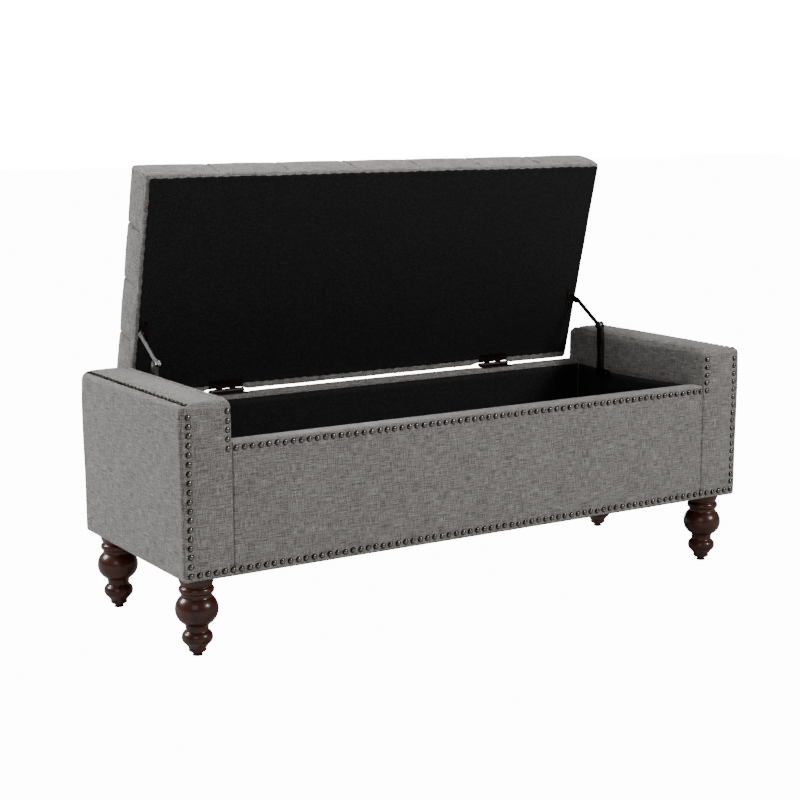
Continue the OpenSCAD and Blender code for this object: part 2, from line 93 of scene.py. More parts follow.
def turned(points, angle):
    """Points turned about the hinge pin; a positive angle closes the lid."""
    c, s = math.cos(angle), math.sin(angle)
    y, z = points[..., 1] - PIN[1], points[..., 2] - PIN[2]
    out = points.copy()
    out[..., 1] = PIN[1] + y * c - z * s
    out[..., 2] = PIN[2] + y * s + z * c
    return out


def to_open_lid(points):
    """Points of the closed lid, turned to where the open lid has them."""
    return turned(points, -LID_ANGLE)


closed_cover = turned(points_of("lid_cover"), LID_ANGLE)
LID_LOW, LID_HIGH = closed_cover.min(axis=0), closed_cover.max(axis=0)
LID_HALF, LID_FRONT, LID_REAR = LID_HIGH[0], LID_LOW[1], LID_HIGH[1]
LID_UNDER, LID_TOP = LID_LOW[2], LID_HIGH[2]


def hinge_spans():
    """Centre and width of each hinge along X."""
    leaves = [span(f"{side}_hinge_base_leaf") for side in ("left", "right")]
    return [((low[0] + high[0]) / 2, high[0] - low[0]) for low, high in leaves]


HINGE_SPANS = hinge_spans()

TUFT_COLUMNS = 7
TUFT_PITCH_X = 2 * LID_HALF / TUFT_COLUMNS
TUFT_PITCH_Y = (LID_REAR - LID_FRONT) / 4


def nail_places(node):
    """Centres of the nailheads of a CAD row: its points are split at the gaps along the row."""
    points = points_of(node)
    along = int(np.argmax(np.ptp(points, axis=0)))
    points = points[np.argsort(points[:, along])]
    breaks = np.nonzero(np.diff(points[:, along]) > 2 * MM)[0] + 1
    return np.array([(g.min(axis=0) + g.max(axis=0)) / 2 for g in np.split(points, breaks)])


FRONT_NAIL_ROWS = ("nails_front_bottom", "nails_front_top", "nails_left_column",
                   "nails_right_column", "nails_left_arm_front", "nails_right_arm_front")
FRONT_NAILS = np.vstack([nail_places(row) for row in FRONT_NAIL_ROWS])
NAIL_RADIUS = 5.5 * MM


def distance_to_line(a, b, ends):
    """Distance in a plane from the points (a, b) to the line between two ends."""
    (a0, b0), (a1, b1) = ends
    da, db = a1 - a0, b1 - b0
    t = np.clip(((a - a0) * da + (b - b0) * db) / (da * da + db * db), 0, 1)
    return np.hypot(a - a0 - t * da, b - b0 - t * db)


def front_row_lines():
    """The ends of each nail row on the front, as (x, z)."""
    lines = []
    for row in FRONT_NAIL_ROWS:
        places = nail_places(row)
        along = 0 if np.ptp(places[:, 0]) > np.ptp(places[:, 2]) else 2
        order = places[np.argsort(places[:, along])]
        lines.append((order[0, [0, 2]], order[-1, [0, 2]]))
    return lines


FRONT_ROW_LINES = front_row_lines()

# ---------------------------------------------------------------- camera, lights, floor

CAMERA_AZIMUTH = math.radians(-32.46)
CAMERA_ELEVATION = math.radians(10.03)
CAMERA_DISTANCE = 3.457
CAMERA_TARGET = Vector((-0.059, BODY_MID_Y, 0.389))
LENS, SENSOR_WIDTH = 76.9, 36   # millimetres
WORLD_LIGHT = 0.15
BACKDROP = 16.0             # how bright the surroundings look to the camera
FLOOR_SIZE, FLOOR_GREY, FLOOR_ROUGHNESS = 40, 0.55, 0.9
FLOOR_GLOW = 0.86           # share of the backdrop in the floor that the camera sees
STUDIO_LIGHTS = (           # name, place, aim, side of the square, power in watts
    ("rear_left", (-2.6, 1.9, 2.1), (-0.6, -0.05, 0.35), 1.1, 100),
    ("front_right", (1.9, -3.1, 2.1), (0.1, -0.2, 0.3), 0.9, 73),
    ("front_left", (-2.6, -2.9, 2.0), (-0.3, -0.2, 0.35), 1.9, 15),
    ("overhead", (-0.1, 0.3, 2.9), (0, 0.0, 0.4), 1.3, 45),
)


def make_camera():
    """The camera, in the photo's view."""
    data = bpy.data.cameras.new("camera")
    data.lens, data.sensor_width = LENS, SENSOR_WIDTH
    camera = bpy.data.objects.new("camera", data)
    bpy.context.scene.collection.objects.link(camera)
    back = Vector((math.sin(CAMERA_AZIMUTH) * math.cos(CAMERA_ELEVATION),
                   -math.cos(CAMERA_AZIMUTH) * math.cos(CAMERA_ELEVATION),
                   math.sin(CAMERA_ELEVATION)))
    camera.location = CAMERA_TARGET + back * CAMERA_DISTANCE
    camera.rotation_euler = (-back).to_track_quat("-Z", "Y").to_euler()
    bpy.context.scene.camera = camera


def area_light(name, place, aim, size, power):
    """A square area light aimed at a point."""
    data = bpy.data.lights.new(name, "AREA")
    data.shape, data.size, data.energy = "SQUARE", size, power
    light = bpy.data.objects.new(name, data)
    light.location = place
    light.rotation_euler = (Vector(aim) - Vector(place)).to_track_quat("-Z", "Y").to_euler()
    bpy.context.scene.collection.objects.link(light)


def white_glow(tree, kind, strength):
    """A white emitting shader; its kind is that of a surface or of the world."""
    node = tree.nodes.new(kind)
    node.inputs["Color"].default_value = (1, 1, 1, 1)
    node.inputs["Strength"].default_value = strength
    return node.outputs[0]


def mixed(tree, factor, a, b):
    """Two shaders mixed by a number or by another node's output."""
    mix = tree.nodes.new("ShaderNodeMixShader")
    if isinstance(factor, float):
        mix.inputs[0].default_value = factor
    else:
        tree.links.new(factor, mix.inputs[0])
    tree.links.new(a, mix.inputs[1])
    tree.links.new(b, mix.inputs[2])
    return mix.outputs[0]


def by_ray(tree, lit, seen):
    """The camera sees one shader; every other ray meets the one that lights the bench."""
    camera_ray = tree.nodes.new("ShaderNodeLightPath").outputs["Is Camera Ray"]
    return mixed(tree, camera_ray, lit, seen)


def make_studio():
    """White surroundings, four area lights and a paper floor."""
    world = bpy.data.worlds.new("studio")
    world.use_nodes = True
    tree = world.node_tree
    background = tree.nodes["Background"]
    background.inputs["Color"].default_value = (1, 1, 1, 1)
    background.inputs["Strength"].default_value = WORLD_LIGHT
    shader = by_ray(tree, background.outputs[0], white_glow(tree, "ShaderNodeBackground", BACKDROP))
    tree.links.new(shader, tree.nodes["World Output"].inputs[0])
    bpy.context.scene.world = world
    for light in STUDIO_LIGHTS:
        area_light(*light)
    bpy.ops.mesh.primitive_plane_add(size=FLOOR_SIZE, location=(0, 0, 0))
    floor = bpy.context.object
    floor.name = "floor"
    paper = plain_material("floor_paper", grey(FLOOR_GREY), FLOOR_ROUGHNESS)
    tree = paper.node_tree
    surface = tree.nodes["Principled BSDF"].outputs[0]
    seen = mixed(tree, FLOOR_GLOW, surface, white_glow(tree, "ShaderNodeEmission", BACKDROP))
    tree.links.new(by_ray(tree, surface, seen), tree.nodes["Material Output"].inputs[0])
    floor.data.materials.append(paper)


# ---------------------------------------------------------------- material helpers


def grey(value):
    """A neutral colour."""
    return (value, value, value)


class Nodes:
    """A material's node tree, with short calls for the nodes that the looks are made of."""

    def __init__(self, name):
        self.material = bpy.data.materials.new(name)
        self.material.use_nodes = True
        self.tree = self.material.node_tree
        self.shader = self.tree.nodes["Principled BSDF"]

    def feed(self, socket, value):
        """Gives a socket a number, a vector, a colour or another node's output."""
        if isinstance(value, bpy.types.NodeSocket):
            self.tree.links.new(value, socket)
        elif socket.type == "RGBA":
            socket.default_value = (*value, 1)
        else:
            socket.default_value = value

    def fill(self, node, inputs):
        """Feeds a node's inputs by name, with _ for a space."""
        for key, value in inputs.items():
            self.feed(node.inputs[key.replace("_", " ")], value)
        return node

    def set(self, **inputs):
        """Feeds inputs of the surface shader."""
        self.fill(self.shader, inputs)

    def add(self, kind, **inputs):
        """A new node of a kind."""
        return self.fill(self.tree.nodes.new(kind), inputs)

    def coordinates(self, kind, scale=(1, 1, 1)):
        """Coordinates of a kind ("UV" or "Object"), scaled."""
        source = self.add("ShaderNodeTexCoord").outputs[kind]
        return self.add("ShaderNodeMapping", Scale=scale, Vector=source).outputs["Vector"]

    def coordinate_x(self, kind):
        """The first of the coordinates of a kind."""
        return self.add("ShaderNodeSeparateXYZ", Vector=self.coordinates(kind)).outputs["X"]

    def noise(self, vector, scale=1.0, detail=2.0, roughness=0.5, distortion=0.0):
        """Cloudy noise."""
        return self.add("ShaderNodeTexNoise", Vector=vector, Scale=scale, Detail=detail,
                        Roughness=roughness, Distortion=distortion).outputs["Fac"]

    def wave(self, vector, axis, scale, distortion, detail, detail_scale):
        """Parallel bands that follow each other along an axis."""
        node = self.add("ShaderNodeTexWave", Vector=vector, Scale=scale, Distortion=distortion,
                        Detail=detail, Detail_Scale=detail_scale)
        node.bands_direction = axis
        return node.outputs["Fac"]

    def math(self, operation, a, b):
        """Arithmetic on two numbers or outputs."""
        node = self.add("ShaderNodeMath")
        node.operation = operation
        for socket, value in zip(node.inputs, (a, b)):
            self.feed(socket, value)
        return node.outputs[0]

    def ramp(self, factor, *stops):
        """A colour ramp; each stop is (position, colour)."""
        node = self.add("ShaderNodeValToRGB", Fac=factor)
        elements = node.color_ramp.elements
        for i, (position, colour) in enumerate(stops):
            element = elements[i] if i < 2 else elements.new(position)
            element.position = position
            element.color = (*colour, 1)
        return node.outputs["Color"]

    def mix(self, factor, a, b, blend="MIX"):
        """Two colours mixed; the numbers are the colour sockets' places on the node."""
        node = self.add("ShaderNodeMix")
        node.data_type, node.blend_type = "RGBA", blend
        for place, value in ((0, factor), (6, a), (7, b)):
            self.feed(node.inputs[place], value)
        return node.outputs[2]

    def bump(self, height, strength, distance):
        """The surface normal that a height gives."""
        return self.add("ShaderNodeBump", Strength=strength, Distance=distance,
                        Height=height).outputs["Normal"]


def plain_material(name, colour, roughness):
    """One colour without a pattern."""
    nodes = Nodes(name)
    nodes.set(Base_Color=colour, Roughness=roughness)
    return nodes.material


# ---------------------------------------------------------------- materials


def linen_material():
    """Slubby plain weave: fine threads both ways, thicker streaks along some, and flecks."""
    across = 1 / (1.05 * MM)        # threads in a metre
    bands = math.pi / 10 * across   # the wave's scale for one band to each thread
    n = Nodes("linen")
    n.set(Roughness=0.92, Sheen_Weight=0.2, Sheen_Roughness=0.5, Specular_IOR_Level=0.25)
    warp_tone = n.noise(n.coordinates("UV", (across, across / 14, 1)), 1.0, 1.0, 0.5)
    weft_tone = n.noise(n.coordinates("UV", (across / 14, across, 1)), 1.0, 1.0, 0.5)
    warp_slub = n.noise(n.coordinates("UV", (across / 1.6, across / 22, 1)), 1.0, 0.0)
    weft_slub = n.noise(n.coordinates("UV", (across / 30, across / 1.6, 1)), 1.0, 0.0)
    fleck = n.noise(n.coordinates("UV", (across / 1.3, across / 1.2, 1)), 1.0, 0.0)
    cloud = n.noise(n.coordinates("UV", (11, 11, 1)), 1.0, 3.0, 0.55)
    warp, weft = (n.wave(n.coordinates("UV"), axis, bands, 0.9, 1.0, 3.0) for axis in "XY")
    streaks = n.math("ADD", n.math("MULTIPLY", warp_slub, 0.5), n.math("MULTIPLY", weft_slub, 0.6))
    threads = n.math("ADD", warp_tone, weft_tone)
    tone = n.math("ADD", n.math("ADD", streaks, n.math("MULTIPLY", threads, 0.7)),
                  n.math("ADD", n.math("MULTIPLY", fleck, 1.3), n.math("MULTIPLY", cloud, 0.15)))
    tone = n.math("MULTIPLY", tone, 1 / 3.95)       # the sum of the weights
    colour = n.ramp(tone, (0.395, (0.088, 0.079, 0.073)), (0.5, (0.248, 0.234, 0.224)),
                    (0.605, (0.560, 0.538, 0.516)))
    weave = n.math("MULTIPLY", n.math("ADD", warp, weft), 0.5)
    shade = n.ramp(weave, (0.15, grey(0.62)), (0.75, grey(1)))
    n.set(Base_Color=n.mix(0.5, colour, shade, "MULTIPLY"))
    height = n.math("ADD", weave, n.math("MULTIPLY", n.math("ADD", streaks, fleck), 0.7))
    n.set(Normal=n.bump(height, 0.6, 0.5 * MM))
    return n.material


def lining_material():
    """Black spun fabric: matted fibres with a fine embossed grain."""
    n = Nodes("black_lining")
    n.set(Roughness=0.75, Sheen_Weight=0.06, Specular_IOR_Level=0.25)
    fibre = n.noise(n.coordinates("Object"), 700, 2.0, 0.6)
    speckle = n.noise(n.coordinates("Object"), 300, 1.0, 0.5)
    soft = n.noise(n.coordinates("Object"), 9, 2.0, 0.5)
    grain = n.math("ADD", n.math("MULTIPLY", fibre, 0.4), n.math("MULTIPLY", speckle, 0.6))
    deep = (0.0005, 0.0005, 0.0006)
    n.set(Base_Color=n.mix(soft, n.ramp(grain, (0.44, deep), (0.62, (0.014, 0.014, 0.015))),
                           n.ramp(grain, (0.47, deep), (0.64, (0.009, 0.009, 0.010)))))
    n.set(Normal=n.bump(grain, 0.6, 0.8 * MM))
    return n.material


def espresso_material():
    """Dark stained wood under a clear gloss: long fine grain, redder in broad uneven patches."""
    n = Nodes("espresso_wood")
    n.set(Coat_Weight=0.4, Coat_Roughness=0.1, Coat_IOR=1.5, Specular_IOR_Level=0.35)
    grain = n.noise(n.coordinates("Object", (420, 420, 16)), 1.0, 4.0, 0.65, 0.6)
    band = n.noise(n.coordinates("Object", (34, 34, 7)), 1.0, 2.0, 0.5, 0.3)
    base = n.ramp(band, (0.3, (0.036, 0.0062, 0.0024)), (0.7, (0.098, 0.0225, 0.0085)))
    streaks = n.ramp(grain, (0.32, (0.35, 0.28, 0.25)), (0.62, grey(1)))
    n.set(Base_Color=n.mix(0.6, base, streaks, "MULTIPLY"))
    n.set(Normal=n.bump(grain, 0.12, 0.25 * MM))
    n.set(Roughness=n.ramp(grain, (0.3, grey(0.42)), (0.7, grey(0.27))))
    return n.material


def metal_material(name, dark, light, roughness, patch_scale, metallic=1.0):
    """Worn metal: patches between two tones, fine scratches and a slightly uneven face."""
    n = Nodes(name)
    n.set(Metallic=metallic)
    patch = n.noise(n.coordinates("Object"), patch_scale, 4.0, 0.6)
    fine = n.noise(n.coordinates("Object", (1500, 1500, 180)), 1.0, 2.0, 0.6)
    n.set(Base_Color=n.ramp(patch, (0.34, dark), (0.66, light)))
    wear = n.math("ADD", n.math("MULTIPLY", patch, 0.7), n.math("MULTIPLY", fine, 0.3))
    dull = grey(min(1, roughness * 1.4))
    n.set(Roughness=n.ramp(wear, (0.3, grey(roughness * 0.7)), (0.7, dull)))
    n.set(Normal=n.bump(n.math("ADD", n.math("MULTIPLY", fine, 0.5), patch), 0.25, 0.15 * MM))
    return n.material


def nailhead_material():
    """Antique bronze with painted shade: black around the rim, standing in for the groove's shadow and dark
    reflections there, and its own bronze towards the crown.
    """
    n = Nodes("nailhead")
    n.set(Metallic=1.0)
    crown = n.noise(n.coordinates("Object"), 900, 2.0, 0.6)
    uneven = n.math("MULTIPLY", n.math("SUBTRACT", crown, 0.5), 0.5)
    height = n.math("ADD", n.coordinate_x("UV"), uneven)
    # Painted shade: the colour darkens to black towards the rim of the head, where shadow and dark reflections
    # fall.
    n.set(Base_Color=n.ramp(height, (0.62, (0.012, 0.010, 0.008)), (1.0, (0.310, 0.280, 0.230))))
    n.set(Roughness=n.ramp(height, (0.3, grey(0.38)), (0.9, grey(0.20))))
    n.set(Normal=n.bump(crown, 0.2, 0.15 * MM))
    return n.material


def plastic_material():
    """Black plastic of the foot glides, finely grained."""
    n = Nodes("glide_plastic")
    n.set(Roughness=0.55)
    grain = n.noise(n.coordinates("Object"), 700, 2.0, 0.5)
    n.set(Base_Color=n.ramp(grain, (0.3, grey(0.009)), (0.7, grey(0.018))))
    n.set(Normal=n.bump(grain, 0.2, 0.1 * MM))
    return n.material


def plywood_material():
    """Raw board: pale long grain; only its edges could ever show."""
    n = Nodes("frame_wood")
    n.set(Roughness=0.75)
    grain = n.noise(n.coordinates("Object", (5, 90, 90)), 1.0, 5.0, 0.6, 0.4)
    n.set(Base_Color=n.ramp(grain, (0.3, (0.36, 0.23, 0.12)), (0.7, (0.60, 0.44, 0.26))))
    n.set(Normal=n.bump(grain, 0.2, 0.3 * MM))
    return n.material


MATERIALS = {
    "linen": linen_material(),
    "black_lining": lining_material(),
    "espresso_wood": espresso_material(),
    "nailhead": nailhead_material(),
    "hinge_bronze": metal_material("hinge_bronze", (0.016, 0.012, 0.010), (0.050, 0.036, 0.030),
                                   0.36, 160, 0.85),
    "zinc_steel": metal_material("zinc_steel", (0.50, 0.49, 0.48), (0.62, 0.60, 0.58), 0.26, 90),
    # Painted shade: stay_dark_steel is the zinc steel darkened, for stay parts that stand in shade against the
    # bright backdrop.
    "stay_dark_steel": metal_material("stay_dark_steel", (0.10, 0.095, 0.095),
                                      (0.15, 0.14, 0.14), 0.22, 90),
    "glide_plastic": plastic_material(),
    "frame_wood": plywood_material(),
    "foam": plain_material("foam", (0.80, 0.74, 0.52), 0.9),
}
EDGE_BREAK, SHARP_EDGE = 0.3 * MM, math.radians(50)


def break_edges(node):
    """Small rounded edges on a carried-over metal node, so that they catch the light."""
    bevel = node.modifiers.new("edge", "BEVEL")
    bevel.width, bevel.segments, bevel.limit_method = EDGE_BREAK, 2, "ANGLE"
    bevel.angle_limit = SHARP_EDGE


# The stays' parts that look unlike their slot, by name without the side.
SEEN_AS = {"stay_lid_bracket": "hinge_bronze"}


def finish_frame_nodes():
    """Gives every carried-over CAD node its slot's material, and breaks the hardware's edges."""
    slots = {part["node"]: part["material_slot"] for part in frame["record"]["subparts"]}
    for name, node in frame["nodes"].items():
        node.data.materials.clear()
        node.data.materials.append(MATERIALS[SEEN_AS.get(name.split("_", 1)[1], slots[name])])
        if name.endswith(("_leaf", "_arm", "_bracket")) and ("stay" in name or "hinge" in name):
            break_edges(node)


# ---------------------------------------------------------------- mesh helpers


def make_object(name, points, faces, uvs=None, material=None, smooth=True):
    """A mesh object from arrays; uvs has one pair per face corner."""
    mesh = bpy.data.meshes.new(name)
    mesh.from_pydata(points.tolist(), [], [list(map(int, f)) for f in faces])
    if uvs is not None:
        layer = mesh.uv_layers.new(name="weave")
        layer.data.foreach_set("uv", np.asarray(uvs, dtype=float).ravel())
    mesh.polygons.foreach_set("use_smooth", [smooth] * len(mesh.polygons))
    mesh.update()
    piece = bpy.data.objects.new(name, mesh)
    bpy.context.scene.collection.objects.link(piece)
    if material:
        mesh.materials.append(MATERIALS[material])
    return piece


CREASE_ROOM = 1.2 * MM      # grid lines nearer than this to a crease's own lines are dropped
CREASE_LINES = (-3.2 * MM, -1.6 * MM, 0, 1.6 * MM, 3.2 * MM)


def grid_lines(low, high, step, edge=0.0, fine=3, extra=()):
    """Positions about a step apart, closer near both ends and near extra places."""
    inner = np.linspace(low + edge, high - edge, max(2, round((high - low - 2 * edge) / step) + 1))
    lines = [inner]
    if edge:
        lines += [np.linspace(low, low + edge, fine + 1), np.linspace(high - edge, high, fine + 1)]
    near = [p + d for p in extra for d in CREASE_LINES if low < p + d < high]
    base = np.unique(np.round(np.concatenate(lines), 6))
    if near:
        keep = [b for b in base
                if b in (base[0], base[-1]) or min(abs(b - e) for e in near) > CREASE_ROOM]
        base = np.unique(np.round(np.concatenate([keep, near]), 6))
    return base


def box_skin(xs, ys, zs):
    """The skin of a box on a grid: points, quads and flat UVs in metres, faces turned outwards."""
    lines = (xs, ys, zs)
    counts = [len(line) for line in lines]
    index = {}
    points, faces, uvs = [], [], []

    def vertex(i, j, k):
        """The number of a grid point, added when it is first met."""
        if (i, j, k) not in index:
            index[i, j, k] = len(points)
            points.append((xs[i], ys[j], zs[k]))
        return index[i, j, k]

    for axis in range(3):
        b, c = (axis + 1) % 3, (axis + 2) % 3
        for end in (0, counts[axis] - 1):
            for i in range(counts[b] - 1):
                for j in range(counts[c] - 1):
                    corners = [(i, j), (i + 1, j), (i + 1, j + 1), (i, j + 1)]
                    if end == 0:
                        corners.reverse()
                    face = []
                    for p, q in corners:
                        key = [0, 0, 0]
                        key[axis], key[b], key[c] = end, p, q
                        face.append(vertex(*key))
                        uvs.append(weave_uv(axis, lines[b][p], lines[c][q]))
                    faces.append(face)
    return np.array(points), faces, uvs


def weave_uv(axis, b, c):
    """The weave runs along X, or along Y on the ends; (z, x) comes in on the front and rear."""
    return (c, b) if axis == 1 else (b, c)


def rounded(points, low, high, radii):
    """Box points drawn in to round edges; radii is one triple, or one triple per point."""
    radii = np.broadcast_to(np.asarray(radii, dtype=float), points.shape)
    core = np.clip(points, low + radii, high - radii)
    d = (points - core) / radii
    length = np.linalg.norm(d, axis=1, keepdims=True)
    normal = d / np.maximum(length, 1e-9)
    return core + normal * radii, normal


def bell(distance, width):
    """1 at no distance, falling softly to 0 within about two widths."""
    return np.exp(-(distance / width) ** 2)


def share(x, low, high):
    """How far x is on its way from low to high, from 0 to 1."""
    return np.clip((x - low) / (high - low), 0, 1)


def smooth_step(x, low, high):
    """The same, leaving and arriving softly."""
    t = share(x, low, high)
    return t * t * (3 - 2 * t)


def plateau(x, rise, top, end, fall):
    """0 before rise, 1 from top to end, and 0 again after fall."""
    return smooth_step(x, rise, top) * (1 - smooth_step(x, end, fall))


RIPPLE_WAVES = 7


def ripple(a, b, scale, seed):
    """Soft, uneven waves over two coordinates, from -1 to 1."""
    local = np.random.default_rng(seed)
    total = np.zeros_like(a)
    for _ in range(RIPPLE_WAVES):
        angle, phase = local.uniform(0, math.pi), local.uniform(0, 2 * math.pi)
        wavelength = scale * local.uniform(0.6, 1.6)
        travel = a * math.cos(angle) + b * math.sin(angle)
        total += np.sin(travel * 2 * math.pi / wavelength + phase)
    return total / RIPPLE_WAVES


def near_nails(points, places, width):
    """How strongly each point is pulled by the nearest nails, 0 to 1."""
    pull = np.zeros(len(points))
    for place in places:
        pull = np.maximum(pull, bell(np.linalg.norm(points - place, axis=1), width))
    return pull


PIN_LEVELS = 10
FABRIC = {"quality": 4, "mass": 0.3, "tension_stiffness": 14, "compression_stiffness": 14,
          "shear_stiffness": 6, "bending_stiffness": 0.4, "pin_stiffness": 1.0}


def puff(piece, pinned, pressure, frames, cap):
    """Inflates a soft piece by cloth simulation, by no more than the cap.

    The value pinned is each point's hold, from 0 to 1."""
    mesh = piece.data
    start = read_points(mesh)
    group = piece.vertex_groups.new(name="pin")
    for level in range(PIN_LEVELS + 1):
        members = np.nonzero(np.round(pinned * PIN_LEVELS) == level)[0]
        group.add(members.tolist(), level / PIN_LEVELS, "REPLACE")
    cloth = piece.modifiers.new("cloth", "CLOTH")
    for key, value in FABRIC.items():
        setattr(cloth.settings, key, value)
    cloth.settings.use_pressure = True
    cloth.settings.uniform_pressure_force = pressure
    cloth.settings.vertex_group_mass = "pin"
    cloth.settings.effector_weights.gravity = 0
    cloth.collision_settings.use_collision = False
    cloth.point_cache.frame_start, cloth.point_cache.frame_end = 1, frames
    scene = bpy.context.scene
    for number in range(1, frames + 1):
        scene.frame_set(number)
    moved = read_points(piece.evaluated_get(bpy.context.evaluated_depsgraph_get()).to_mesh())
    piece.modifiers.remove(cloth)
    shift = moved - start
    length = np.linalg.norm(shift, axis=1, keepdims=True)
    shift *= np.minimum(1, cap / np.maximum(length, 1e-9))
    mesh.vertices.foreach_set("co", (start + shift * (1 - pinned[:, None])).ravel())
    piece.vertex_groups.clear()
    mesh.update()
    scene.frame_set(1)


def subdivide(piece):
    """Smooths a piece by one level of subdivision."""
    modifier = piece.modifiers.new("smooth", "SUBSURF")
    modifier.levels = modifier.render_levels = 1
    modifier.uv_smooth = "PRESERVE_BOUNDARIES"


# ---------------------------------------------------------------- upholstery of the body

REAR_SAG = 5 * MM           # how far the lid's fabric bulges past its CAD rear edge
KNUCKLE_ROOM = 5.4 * MM     # nearest that the lid's fabric comes to the hinge pin's axis
LINING_WRAP = 4 * MM        # fabric showing around the lid's black lining
REAR_WRAP = 9 * MM          # the same at the lid's rear edge
STAPLE_PITCH = 23 * MM
SEAM_OVERLAP = np.array([0.6 * MM, 0, 0])   # the rails' fabric is tucked into the arms'
LANDING_DIP = 1.4 * MM      # how far the closed lid has pressed the front rail's padding down
SEAM_INSET = 12 * MM        # of the arm's top seam from its inner face
CROWN = 5.5 * MM            # how far the padding of the arm's top stands up
FLARE = 3 * MM              # how far the padding leans out at the top of the arm's side


def nail_dent(points, nails):
    """How far the nails pull the front fabric in: a channel on each row, deeper at the nails."""
    row = np.min([distance_to_line(points[:, 0], points[:, 2], line)
                  for line in FRONT_ROW_LINES], axis=0)
    channel, dimple = 1.5 * MM * bell(row, 7 * MM), 0.9 * MM * near_nails(points, nails, 7.5 * MM)
    return (channel + dimple) * smooth_step(FRONT_LOW[1] + 12 * MM - points[:, 1], 0, 8 * MM)


def make_front_cover():
    """The front panel and the padded top of its rail, drawn in along the nail rows."""
    low = FRONT_LOW - SEAM_OVERLAP
    high = FRONT_HIGH + SEAM_OVERLAP - np.array([0, 0, LANDING_DIP])
    xs = grid_lines(low[0], high[0], 6 * MM, 6 * MM, 3)
    ys = grid_lines(low[1], high[1], 8 * MM, 8 * MM, 4)
    zs = grid_lines(low[2], high[2], 6 * MM, 8 * MM, 4)
    points, faces, uvs = box_skin(xs, ys, zs)
    x, _, z = points.T.copy()
    points, normal = rounded(points, low, high, (1.8 * MM, 7 * MM, 7 * MM))
    points -= normal * nail_dent(points, FRONT_NAILS)[:, None]
    sway = ripple(x, z, 0.16, 1) * 0.9 * MM
    inner = plateau(x, low[0], low[0] + 0.05, high[0] - 0.05, high[0])
    points += normal * (sway * inner * (1 - smooth_step(normal[:, 2], 0, 0.6)))[:, None]
    between = plateau(z, low[2] + 0.02, low[2] + 0.06, high[2] - 0.06, high[2] - 0.02)
    points[:, 1] -= 2.0 * MM * between * inner * np.clip(-normal[:, 1], 0, 1)
    piece = make_object("front_upholstery", points, faces, uvs, "linen")
    subdivide(piece)
    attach(piece, "base")
    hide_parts("front_cover")


def make_rear_cover():
    """The rear panel, its top crowned between the hinges."""
    low, high = REAR_LOW - SEAM_OVERLAP, REAR_HIGH + SEAM_OVERLAP
    xs = grid_lines(low[0], high[0], 8 * MM, 6 * MM, 3)
    ys = grid_lines(low[1], high[1], 8 * MM, 7 * MM, 4)
    zs = grid_lines(low[2], high[2], 8 * MM, 7 * MM, 4)
    points, faces, uvs = box_skin(xs, ys, zs)
    x, y, z = points.T.copy()
    points, normal = rounded(points, low, high, (1.8 * MM, 4.5 * MM, 4.5 * MM))
    points += normal * (ripple(x, z, 0.2, 2) * 0.8 * MM)[:, None]
    across = share(y, low[1], high[1])
    crown = np.sqrt(np.sin(math.pi * across)) * away_from_hinges(x)
    points[:, 2] += 2.2 * MM * crown * smooth_step(normal[:, 2], 0.3, 0.9)
    piece = make_object("rear_upholstery", points, faces, uvs, "linen")
    subdivide(piece)
    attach(piece, "base")
    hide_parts("rear_cover")


def arm_radii(flat, low, high):
    """How round the arm's edges are: softer above the rail, and softest over its rear end."""
    x, y, z = flat.T
    above_rail = smooth_step(z, RAIL_TOP - 6 * MM, RAIL_TOP + 6 * MM)
    upper = smooth_step(z, high[2] - 0.06, high[2] - 0.01)
    inner = x < (low[0] + high[0]) / 2
    rear = y > BODY_MID_Y
    radii = np.full(flat.shape, 9 * MM)
    radii[:, 0] = np.where(inner, 1.6 * MM + 6.5 * MM * above_rail, 9 * MM)
    radii[:, 1] = 9 * MM + np.where(rear, 8 * MM, 4 * MM) * upper
    radii[:, 2] = 6 * MM + np.where(rear, 10 * MM, 7 * MM) * upper
    return radii


def pad_relief(flat, nails, seam_x, nail_x, low, high):
    """Height of the arm's padded top: crowned, tight at the seam and puckered at the nails."""
    x, y, _ = flat.T
    across = (nail_x - x) / (nail_x - seam_x)
    along = share(y, low[1], high[1])
    arch = np.clip(4 * across * (1 - across), 0, 1) ** 0.33
    relief = CROWN * arch * np.sin(math.pi * along) ** 0.3
    first, last = nails[:, 1].min(), nails[:, 1].max()
    on_row = plateau(y, first - 8 * MM, first, last, last + 8 * MM)
    relief -= 2.2 * MM * bell(x - nail_x, 6 * MM) * on_row
    relief -= 2.6 * MM * near_nails(flat, nails, 6 * MM)
    relief += 1.8 * MM * bell(x - (nail_x + 8.5 * MM), 5 * MM) * on_row
    spacing = np.abs(np.diff(np.sort(nails[:, 1]))).mean()
    phase = (y - first) / spacing
    uneven = 0.75 + 0.45 * ripple(y, y * 0, 0.06, 17)
    valley = (0.5 + 0.5 * np.cos(2 * math.pi * phase + 6 * (nail_x - x))) ** 1.6
    inwards = nail_x - x
    reach = plateau(inwards, 0, 6 * MM, 10 * MM, 34 * MM)
    relief -= 3.6 * MM * valley * reach * uneven * on_row
    stitched = smooth_step(y, low[1] + 0.014, low[1] + 0.022)
    relief -= 6.5 * MM * bell(x - seam_x, 3.2 * MM) * stitched
    relief += 3.4 * MM * bell(x - (seam_x - 7.5 * MM), 3.6 * MM) * stitched
    return relief + 0.5 * MM * ripple(x, y, 0.05, 18)


